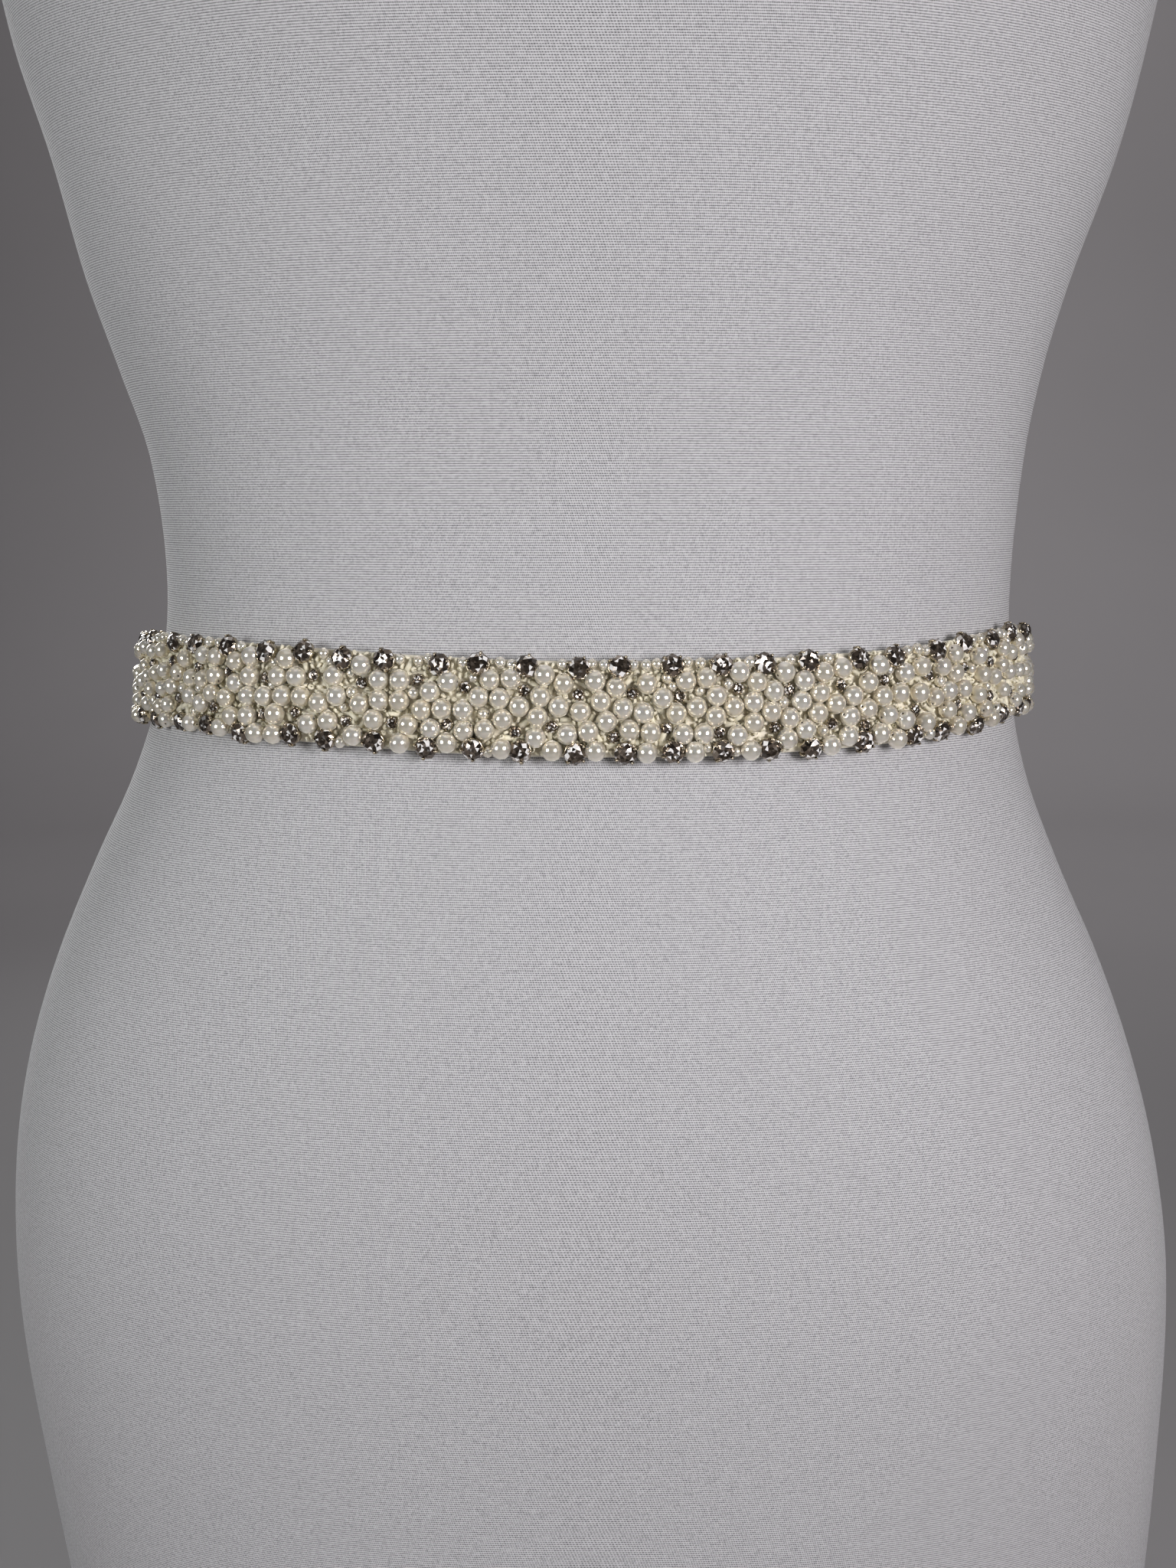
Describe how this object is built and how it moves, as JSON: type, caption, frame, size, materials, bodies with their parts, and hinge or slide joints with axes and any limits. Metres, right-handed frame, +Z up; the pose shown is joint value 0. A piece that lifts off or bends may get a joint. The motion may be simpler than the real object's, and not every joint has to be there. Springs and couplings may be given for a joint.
{
  "type": "bridal sash on a dress form",
  "caption": "Narrow bridal sash with a satin strip closely sewn with ivory pearls and set stones, closed by ribbons at the back, worn round the waist of a limbless jersey dress form.",
  "frame": {"origin": "middle of the dress form's flat foot, on the surface it stands on", "axes": "+Z up along the form, -Y towards the front that the sash's beading faces, +X to the viewer's right of the front"},
  "size_m": [0.3954, 0.2552, 0.826],
  "materials": {
    "jersey": "matte fine jersey knit",
    "satin": "soft satin sheen",
    "pearl": "pearly gloss",
    "stone": "foiled cut glass",
    "setting": "pale gold plated claws"
  },
  "bodies": {
    "root": {"dress_form": "jersey", "beaded_front": "pearl", "ribbon_left": "satin", "ribbon_right": "satin"}
  },
  "joints": []
}
